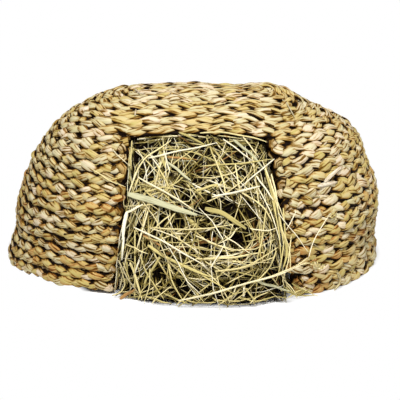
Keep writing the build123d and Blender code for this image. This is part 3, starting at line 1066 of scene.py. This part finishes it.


# Stems and leaves that stand out. Where each one lies was read off the photograph, so its
# points are places in that view. Before them: width in its pixels, tone, millimetres above the
# hay, and thickness over width
standouts = [
    (2.0, 0.84, 2.5, 0.8, (148, 158), (180, 151), (217, 143)),
    (2.0, 0.72, 2.0, 0.8, (129, 193), (138, 168), (147, 156), (160, 148), (171, 141)),
    (1.6, 0.62, 1.5, 0.8, (132, 141), (131, 155), (131, 170)),
    (1.0, 0.80, 1.5, 0.9, (112, 148), (120, 158), (131, 166)),
    (1.4, 0.70, 1.5, 0.8, (91, 168), (108, 180), (126, 187)),
    (1.7, 0.80, 2.0, 0.8, (136, 172), (129, 193)),
    (1.6, 0.68, 2.0, 0.8, (139, 177), (134, 190)),
    (2.0, 0.80, 3.0, 0.7, (138, 177), (156, 187), (176, 198), (194, 210)),
    (1.6, 0.84, 2.0, 0.8, (150, 155), (160, 168)),
    (2.0, 0.62, 1.5, 0.7, (155, 162), (163, 175), (170, 188)),
    (1.8, 0.84, 2.0, 0.8, (164, 150), (167, 162), (170, 173)),
    (3.2, 0.90, 2.5, 0.3, (168, 162), (179, 171), (191, 181)),
    (2.0, 0.60, 2.0, 0.6, (145, 192), (162, 187), (179, 189)),
    (7.4, 0.90, 3.5, 0.10, (128, 194), (151, 200), (172, 207), (197, 215)),
    (2.6, 0.85, 2.5, 0.6, (126, 213), (134, 209), (143, 204)),
    (3.6, 0.50, 1.0, 0.2, (159, 148), (162, 158), (166, 169)),
    (3.0, 0.44, 1.5, 0.3, (179, 132), (192, 138), (205, 145)),
    (2.6, 0.95, 0.5, 0.4, (167, 157), (182, 158), (197, 160)),
    (1.7, 0.85, 2.5, 0.8, (223, 139), (237, 149), (252, 161)),
    (3.2, 0.90, 2.0, 0.3, (233, 140), (249, 152), (265, 170)),
    (1.5, 0.76, 2.0, 0.8, (243, 137), (251, 147), (259, 158)),
    (1.6, 0.86, 3.5, 0.8, (274, 159), (257, 173), (239, 188)),
    (2.0, 0.58, 2.0, 0.7, (200, 166), (237, 164), (274, 159)),
    (2.3, 0.86, 3.5, 0.7, (212, 197), (240, 191), (260, 186)),
    (2.0, 0.84, 3.0, 0.7, (256, 176), (265, 188), (273, 200)),
    (3.4, 0.54, 2.0, 0.25, (265, 168), (272, 193), (276, 215)),
    (1.9, 0.76, 3.0, 0.5, (271, 174), (276, 193), (278, 212)),
    (1.7, 0.74, 2.0, 0.8, (235, 164), (239, 187), (241, 199)),
    (1.7, 0.72, 2.0, 0.8, (214, 156), (224, 183), (226, 199)),
    (2.0, 0.66, 1.5, 0.5, (200, 133), (225, 132), (250, 137), (267, 142)),
    (1.8, 0.70, 2.0, 0.8, (240, 191), (252, 199), (265, 208), (272, 222)),
    (3.0, 0.60, 1.0, 0.3, (196, 191), (210, 186), (222, 184)),
    (5.6, 0.50, 3.0, 0.12, (205, 208), (220, 212), (234, 220), (246, 229)),
    (4.0, 0.97, 0.5, 0.2, (267, 175), (271, 190)),
    (4.4, 0.87, 4.0, 0.5, (127, 212), (124, 225), (123, 240)),
    (2.6, 0.87, 4.0, 0.8, (124, 236), (123, 250), (122, 260)),
    (2.0, 0.84, 3.0, 0.8, (134, 227), (163, 241), (184, 253), (205, 266)),
    (1.6, 0.74, 2.0, 0.8, (126, 244), (148, 254)),
    (3.6, 0.56, 2.0, 0.3, (148, 245), (165, 257), (191, 269), (212, 277)),
    (1.7, 0.64, 2.0, 0.8, (175, 213), (165, 227)),
    (1.7, 0.68, 2.0, 0.8, (170, 215), (160, 223), (150, 233)),
    (2.0, 0.60, 1.0, 0.8, (135, 230), (135, 274), (135, 299)),
    (2.8, 0.66, 1.5, 0.3, (130, 262), (136, 277), (142, 300)),
    (2.4, 0.46, 0.5, 0.3, (127, 262), (127, 284)),
    (2.8, 0.52, 1.5, 0.3, (160, 257), (146, 279), (144, 288)),
    (2.0, 0.60, 1.5, 0.7, (168, 264), (172, 282), (185, 304)),
    (1.8, 0.58, 1.0, 0.8, (140, 255), (147, 274), (155, 286), (164, 299)),
    (4.2, 0.95, 3.0, 0.2, (120, 298), (127, 294), (135, 289)),
    (1.5, 0.66, 1.5, 0.8, (112, 296), (121, 292), (126, 284), (120, 266)),
    (3.2, 0.94, 1.0, 0.3, (143, 235), (152, 240), (161, 246)),
    (1.2, 0.88, 1.0, 0.8, (187, 283), (200, 301)),
    (2.4, 0.80, 4.0, 0.6, (178, 300), (217, 292), (250, 282), (280, 274), (306, 262)),
    (1.6, 0.76, 4.0, 0.8, (246, 283), (272, 276), (295, 266), (307, 258)),
    (1.3, 0.84, 5.0, 0.9, (308, 257), (311, 246), (317, 232), (330, 213)),
    (1.2, 0.84, 4.0, 0.9, (278, 213), (288, 226), (299, 239), (308, 252)),
    (1.3, 0.84, 4.0, 0.9, (296, 211), (286, 230)),
    (3.2, 0.50, 2.0, 0.3, (278, 210), (281, 230), (286, 242), (287, 255), (283, 268)),
    (2.0, 0.60, 2.5, 0.6, (283, 208), (285, 235), (289, 262)),
    (1.8, 0.62, 2.5, 0.8, (266, 208), (263, 232), (261, 244), (256, 262)),
    (1.5, 0.80, 3.0, 0.8, (250, 228), (263, 231), (277, 228)),
    (2.4, 0.80, 2.0, 0.5, (224, 235), (237, 244), (251, 254)),
    (1.4, 0.86, 3.5, 0.8, (211, 267), (217, 257), (224, 245)),
    (1.8, 0.78, 2.5, 0.8, (237, 228), (229, 239), (219, 243)),
    (2.4, 0.70, 2.0, 0.5, (198, 259), (236, 257), (264, 252)),
    (2.0, 0.66, 2.0, 0.7, (215, 271), (236, 269), (250, 265), (278, 247)),
    (1.8, 0.64, 2.5, 0.8, (276, 251), (270, 267), (257, 281)),
    (1.8, 0.58, 2.0, 0.8, (200, 274), (216, 283), (236, 295)),
    (1.8, 0.56, 2.5, 0.8, (245, 288), (250, 294), (256, 302)),
    (3.2, 0.90, 2.0, 0.25, (257, 281), (273, 286), (290, 291)),
    (1.4, 0.66, 1.0, 0.8, (286, 284), (292, 291), (297, 298)),
    (1.6, 0.50, 1.0, 0.8, (284, 287), (294, 293), (306, 296)),
    (1.8, 0.42, 1.0, 0.7, (292, 283), (301, 290), (313, 294)),
    (1.4, 0.60, 1.0, 0.8, (288, 297), (298, 291), (307, 286)),
    (1.5, 0.36, 1.5, 0.7, (297, 296), (306, 291), (312, 287)),
    (1.3, 0.66, 1.5, 0.8, (299, 287), (309, 292), (318, 296)),
    (1.6, 0.46, 1.0, 0.8, (286, 292), (300, 296), (314, 295)),
    (1.3, 0.74, 2.0, 0.8, (284, 280), (293, 289), (297, 297)),
    (1.2, 0.70, 4.5, 0.8, (303, 263), (312, 263), (320, 268)),
    (1.5, 0.66, 3.0, 0.8, (269, 178), (279, 214), (284, 250)),
    (1.6, 0.58, 2.5, 0.8, (272, 200), (279, 230), (281, 264)),
    (1.7, 0.70, 3.0, 0.8, (280, 225), (290, 250), (290, 273)),
    (1.6, 0.60, 2.5, 0.8, (284, 240), (281, 262), (276, 281)),
    (1.4, 0.74, 3.0, 0.8, (291, 236), (288, 262), (282, 281)),
    (1.4, 0.76, 3.0, 0.8, (262, 160), (275, 195), (285, 224)),
    (1.3, 0.82, 2.5, 0.8, (257, 186), (272, 214), (281, 246)),
    (1.4, 0.60, 2.0, 0.8, (123, 262), (131, 282), (130, 298)),
    (1.3, 0.70, 2.0, 0.8, (150, 268), (150, 285), (144, 303)),
    (1.5, 0.64, 2.0, 0.8, (178, 268), (190, 285), (205, 303)),
    (1.3, 0.72, 2.0, 0.8, (207, 272), (222, 287), (230, 303)),
    (1.3, 0.80, 2.0, 0.8, (150, 228), (175, 236), (204, 256)),
    (1.5, 0.56, 1.0, 0.8, (146, 296), (158, 300), (172, 304)),
    (1.4, 0.70, 1.5, 0.8, (152, 303), (160, 294), (172, 286)),
    (1.6, 0.48, 1.0, 0.8, (164, 293), (176, 299), (190, 304)),
    (1.3, 0.66, 1.5, 0.8, (176, 305), (185, 297), (192, 288)),
    (1.5, 0.60, 1.0, 0.8, (186, 300), (200, 303), (216, 302)),
    (1.3, 0.44, 1.5, 0.8, (196, 304), (203, 296), (214, 289)),
    (1.4, 0.62, 1.0, 0.8, (212, 298), (224, 301), (240, 301)),
    (1.3, 0.54, 1.5, 0.8, (222, 302), (231, 295), (244, 291)),
    (1.5, 0.58, 1.0, 0.8, (238, 297), (252, 301), (268, 300)),
    (1.2, 0.72, 1.5, 0.8, (250, 303), (256, 297), (268, 292)),
    (1.4, 0.46, 1.0, 0.8, (262, 300), (274, 296), (288, 298)),
    (1.3, 0.60, 1.5, 0.8, (138, 300), (142, 290), (150, 282)),
]


def frontSurface(x, height):
    # y of the nearest face, the hay's or the hut's; the hay's bulge runs out just past the doorway
    wall = wallFront(x, height)
    left, right = haySides(np.clip(height, 0, hayTop))
    hayFace = hayFront(np.clip((2 * x - left - right) / (right - left), -1, 1), height)
    past = np.maximum(np.maximum(left - x, x - right), 0)
    near, far = hay["bulgeEnds"]
    blended = hayFace + (wall - hayFace) * smooth(past, near, far)
    return np.minimum(np.where(past > far, wall, blended), np.where(past > near, wall, 1.0))


def fromView(spots, above):
    # where the sight lines through places in the view meet the hay or the hut, or just above it
    spots = np.array(spots, float)
    side = view["picture"]
    slopes = ((spots - side / 2) * (1, -1) / side + view["shift"]) * view["sensor"] / view["lens"]
    sight = viewRight * slopes[:, :1] + viewAbove * slopes[:, 1:] - viewBack
    reach = np.linspace(view["nearest"], view["furthest"], 2001)
    line = eyePlace + sight[:, None] * reach[:, None]
    height = np.clip(line[..., 2], 0, hut["height"])
    met = (line[..., 1] > frontSurface(line[..., 0], height)) & (line[..., 2] < hut["height"])
    met |= line[..., 2] < 0.001
    return line[np.arange(len(spots)), met.argmax(1)] + viewBack * above


def lineInView(spots, density, rounds, above):
    # a line through places in the view, rounded some times, some millimetres above what it meets
    share = np.linspace(0, 1, density * len(spots))
    knots = np.linspace(0, 1, len(spots))
    curve = rowsOf(*(np.interp(share, knots, column) for column in zip(*spots)))
    for _ in range(rounds):
        curve[1:-1] = (curve[:-2] + curve[1:-1] * 2 + curve[2:]) / 4
    return share, fromView(curve, 0.001 * above)


def standoutHay():
    stems = []
    for width, tone, above, flatness, *spots in standouts:
        share, line = lineInView(spots, 6, 6, above)
        for axis, size, rate in hay["standoutWaves"]:
            line[:, axis] += size * np.sin(share * rate + chance.uniform(0, 6))
        taper = np.interp(share, [0, 0.12, 0.75, 1], [0.60, 0.95, 0.85, 0.35])
        half = width * hay["pixel"] / 2 * taper
        rings = ringsFacing(line, viewBack + chance.normal(0, 0.25, 3), half, flatness, 8)
        stems.append(stem(aboveFloor(rings, hay["floorGap"]), travelled(line)[-1], tone))
    return buildTubes("hayStandouts", stems)


hayColours = {
    "stops": [
        (0.00, screen(84, 76, 38)),
        (0.18, screen(120, 106, 57)),
        (0.40, screen(164, 151, 89)),
        (0.58, screen(206, 190, 124)),
        (0.74, screen(240, 224, 168)),
        (0.87, screen(248, 240, 212)),
        (0.90, screen(192, 190, 152)),
        (0.93, screen(190, 146, 88)),
        (1.00, screen(132, 92, 48)),
    ],
    "streak": (0.42, 0.40, 0.34, 1),
    "streaks": (55, 9, 2),
    "streaked": (0.52, 0.72, 0.0, 0.6),  # noise at which streaks begin and end, and their strength
    # painted shade: near black deep among the stems, and a tint laid over the colour as it goes
    # into shade
    "groove": screen(18, 8, 0),
    "shadeTint": (0.45, 0.37, 0.11, 1),
    "deep": (0.24, 0.56),
    "open": (0.36, 0.72),
    "roughness": 0.55,
    "gloss": 0.09,
}
# painted shade: near-black colours that stand in for the shade deep inside the hay
lumpColours = {
    "dark": screen(7, 4, 1),
    "light": screen(28, 18, 5),
    "grain": 260.0,
    "roughness": 0.9,
    "gloss": 0.02,
}


def hayFinish():
    finish = newFinish("looseHay")
    colour = finish.add("ValToRGB", {"stops": hayColours["stops"]}, {0: finish.attribute("tone")})
    streak = finish.between(finish.streaks(*hayColours["streaks"]), *hayColours["streaked"])
    colour = finish.mix(colour, finish.mix(colour, hayColours["streak"], 1.0, "MULTIPLY"), streak)
    return finish.paint(finish.shaded(colour, finish.attribute("lift"), hayColours), hayColours)


def lumpFinish():
    finish = newFinish("hayShadeLump")
    where = finish.add("TexCoord", output=3)
    settings = {"Vector": where, "Scale": lumpColours["grain"], "Detail": 3.0}
    grain = finish.add("TexNoise", {}, settings)
    return finish.paint(finish.mix(lumpColours["dark"], lumpColours["light"], grain), lumpColours)


heaped = hayFinish()
frontFace = (1, -1)
otherFaces = [(0, -1), (0, 1), (2, 1), (1, 1)]
frontHay = [(frontFace, "fine", 2500), (frontFace, "long", 170), (frontFace, "leaf", 90)]
otherHay = [(face, kind, count) for face in otherFaces
            for kind, count in (("fine", 520), ("long", 60), ("leaf", 30))]
place(buildLump(), lumpFinish(), "hay", "hay_bundle")
place(looseHay("hayFront", frontHay), heaped, "hay", "hay_bundle")
place(looseHay("haySides", otherHay), heaped, "hay", "hay_bundle")
place(standoutHay(), heaped, "hay", "hay_bundle")

# Leaf ends that stick out of the plait

strays = {
    "count": 170,
    "length": (0.004, 0.013),
    "halfWidth": (0.0004, 0.0011),
    "flatness": 0.25,
    "root": 0.0028,           # from the middle of the wall to where they come out of the plait
    "standing": (0.0005, 0.0018),
    "offMiddle": 0.4,         # how far above or below a course's middle, in courses
    "fromDoor": 0.12,         # nearest to the doorway, as an angle
    "climb": 0.35,
    "turned": 0.3,
    "tones": (0.35, 1),
    "streakLength": 0.02,
    "pixel": 0.00086,         # size of a pixel of the view on the wall
}
# Leaf ends that stand out, read off the photograph in the same way: width, tone, and millimetres
# above the wall
strayStandouts = [
    (4.2, 1.20, 5.0, (324, 182), (331, 175), (338, 169), (342, 166)),
    (3.4, 0.80, 4.5, (341, 166), (345, 167), (348, 170)),
    (4.2, 1.15, 4.5, (317, 186), (326, 184), (337, 182)),
    (1.6, 1.00, 2.0, (135, 116), (136, 109)),
    (3.2, 0.75, 2.5, (337, 272), (340, 278), (339, 284), (334, 290)),
    (1.6, 0.98, 2.0, (134, 88), (140, 93), (146, 95)),
    (1.5, 0.90, 1.5, (169, 95), (173, 91), (181, 89)),
    (1.4, 0.85, 1.5, (276, 94), (287, 104), (295, 118)),
]


def strayLeaves():
    leaves = []
    for width, tone, above, *spots in strayStandouts:
        share, line = lineInView(spots, 3, 0, above)
        taper = np.interp(share, [0, 0.2, 0.8, 1], [0.6, 1, 0.9, 0.35])
        half = width * strays["pixel"] / 2 * taper
        rings = ringsFacing(line, viewBack, half, strays["flatness"], 6)
        leaves.append(stem(rings, strays["streakLength"], tone))
    share = np.linspace(0, 1, 5)
    for _ in range(strays["count"]):
        number = int(chance.integers(1, hut["wallCourses"]))
        number = number + chance.uniform(-strays["offMiddle"], strays["offMiddle"])
        side = chance.choice([-1, 1])
        reach = courseReach(number)
        start = doorAngle(max(1, int(number)), side) + strays["fromDoor"]
        angle = chance.uniform(start, math.pi)
        length = chance.uniform(*strays["length"])
        onward = chance.choice([-1, 1]) * length * share / onDome(reach)[1]
        raised = strays["root"] + share * chance.uniform(*strays["standing"])
        climb = reach + share * length * chance.normal(0, strays["climb"])
        line, stations = aroundEnd(side, angle + onward, climb)
        outward = wallDirections(stations)[1]
        facing = outward + chance.normal(0, strays["turned"], 3)
        half = chance.uniform(*strays["halfWidth"]) * np.interp(share, [0, 0.3, 1], [0.8, 1, 0.25])
        rings = ringsFacing(line + outward * raised[:, None], facing, half, strays["flatness"], 6)
        leaves.append(stem(handMade(rings), length, chance.uniform(*strays["tones"])))
    return buildTubes("strayLeaves", leaves)


place(strayLeaves(), plaited, "hut", "wall_course_08")


# Seed heads at the ends of two long stems

seedHeads = {
    "grains": 16,
    "grainLength": 0.0024,
    "grainHalfWidth": 0.00062,
    "above": 0.0045,
    "depth": 0.0015,
    "tones": [0.42, 0.56, 0.66, 0.80, 0.95],
    "lifts": (0.55, 1),
    "streakLength": 0.002,
    # places in the view, and how far the grains are spread across and up
    "places": [(312, 261, 0.0045, 0.0026), (319, 267, 0.0045, 0.0022), (332, 215, 0.0035, 0.0024)],
}


def grains():
    seeds = []
    share = np.linspace(0, 1, 6)
    half = seedHeads["grainHalfWidth"] * np.sqrt(np.clip(4 * share * (1 - share), 0.06, 1))
    for column, row, wide, tall in seedHeads["places"]:
        middle = fromView([(column, row)], seedHeads["above"])[0]
        for _ in range(seedHeads["grains"]):
            centre = middle + viewRight * chance.normal(0, wide / 2)
            centre = centre + viewAbove * chance.normal(0, tall / 2)
            centre = centre + viewBack * chance.uniform(0, seedHeads["depth"])
            reach = (share[:, None] - 0.5) * seedHeads["grainLength"]
            rings = ringsFacing(centre + reach * unit(chance.normal(size=3)), viewBack, half, 1, 6)
            tone, lift = chance.choice(seedHeads["tones"]), chance.uniform(*seedHeads["lifts"])
            seeds.append(stem(rings, seedHeads["streakLength"], tone, lift))
    return buildTubes("haySeedHeads", seeds)


place(grains(), heaped, "hay", "hay_bundle")
print("hay done")


# Floor, light and camera

studio = {
    "skyLight": 0.20,
    "floorColour": (0.9, 0.9, 0.9, 1),
    "floorSize": 3.0,
    "roughness": 0.9,
    "gloss": 0.5,
    "shadeEdge": (-0.006, 0.004),  # where the shadow kept on the floor ends, from the hut's foot
    "liftedShade": (-0.080, -0.100, 0.0, 0.018),  # drawn in under the lifted foot
    "hayShadeX": (0.066, 0.082),  # and where it ends before the doorway
    "hayShadeY": (0.064, 0.080),
    "hayMiddleY": -0.06,
    "lamps": {                # place, size and power
        "keyLight": ((-0.03, -0.62, 1.5), 0.30, 29.0),
        "fillLight": ((0.9, -1.2, 0.7), 1.0, 6.0),
    },
}
white = (1, 1, 1, 1)


def intoScene(name, data):
    made = bpy.data.objects.new(name, data)
    bpy.context.scene.collection.objects.link(made)
    return made


def buildSky():
    # a soft even light, white behind everything
    bpy.context.scene.world = bpy.data.worlds.new("studio")
    sky = Finish(bpy.context.scene.world)
    fill = sky.add("Background", {}, {"Color": white, "Strength": studio["skyLight"]})
    behind = sky.add("Background", {}, {"Color": white})
    shown = sky.add("MixShader", {}, {0: sky.add("LightPath"), 1: fill, 2: behind})
    sky.feed(sky.tree.nodes["World Output"].inputs[0], shown)


def floorFinish():
    # white to the camera everywhere but next to the hut and the hay, where it keeps their shadow
    finish = newFinish("paleFloor")
    where = finish.add("TexCoord", output=3)
    x = finish.add("SeparateXYZ", {}, {0: where})
    y = finish.add("SeparateXYZ", {}, {0: where}, output=1)
    past = (x.magnitude() - core).atLeast(0.0)
    lifted = finish.between(x, *studio["liftedShade"])
    away = (past ** 2 + (y - hut["middleY"]) ** 2) ** 0.5 + lifted
    fromHut = finish.between(away, *(hut["depth"] / 2 + edge for edge in studio["shadeEdge"]))
    aside = finish.between((x - doorway["shift"][0]).magnitude(), *studio["hayShadeX"])
    before = finish.between((y - studio["hayMiddleY"]).magnitude(), *studio["hayShadeY"])
    seen = finish.add("LightPath") * fromHut.atMost(aside + before)
    glow = finish.add("Emission", {}, {"Color": white, "Strength": 1.0})
    finish.paint(studio["floorColour"], studio)
    plain = Signal(finish, finish.surface.outputs[0])
    shown = finish.add("MixShader", {}, {0: seen, 1: plain, 2: glow})
    finish.feed(finish.tree.nodes["Material Output"].inputs[0], shown)
    return finish.material


def buildFloor():
    mesh = bpy.data.meshes.new("floor")
    bm = bmesh.new()
    bmesh.ops.create_grid(bm, x_segments=1, y_segments=1, size=studio["floorSize"])
    bm.to_mesh(mesh)
    bm.free()
    mesh.materials.append(floorFinish())
    intoScene("floor", mesh)


def buildLamps():
    for name, (spot, size, power) in studio["lamps"].items():
        lamp = bpy.data.lights.new(name, "AREA")
        lamp.size = size
        lamp.energy = power
        light = intoScene(name, lamp)
        light.location = spot
        x, y, z = np.array(view["aim"]) - spot
        light.rotation_euler = (math.atan2(math.hypot(x, y), -z), 0, math.atan2(-x, y))


def buildCamera():
    camera = bpy.data.cameras.new("camera")
    camera.lens = view["lens"]
    camera.sensor_width = view["sensor"]
    camera.shift_x, camera.shift_y = view["shift"]
    eye = intoScene("camera", camera)
    eye.location = eyePlace
    eye.rotation_euler = (math.pi / 2 - viewUp, 0, viewTurn)
    bpy.context.scene.camera = eye
    bpy.context.scene.view_settings.view_transform = "Standard"


buildSky()
buildFloor()
buildLamps()
buildCamera()
print("studio done")
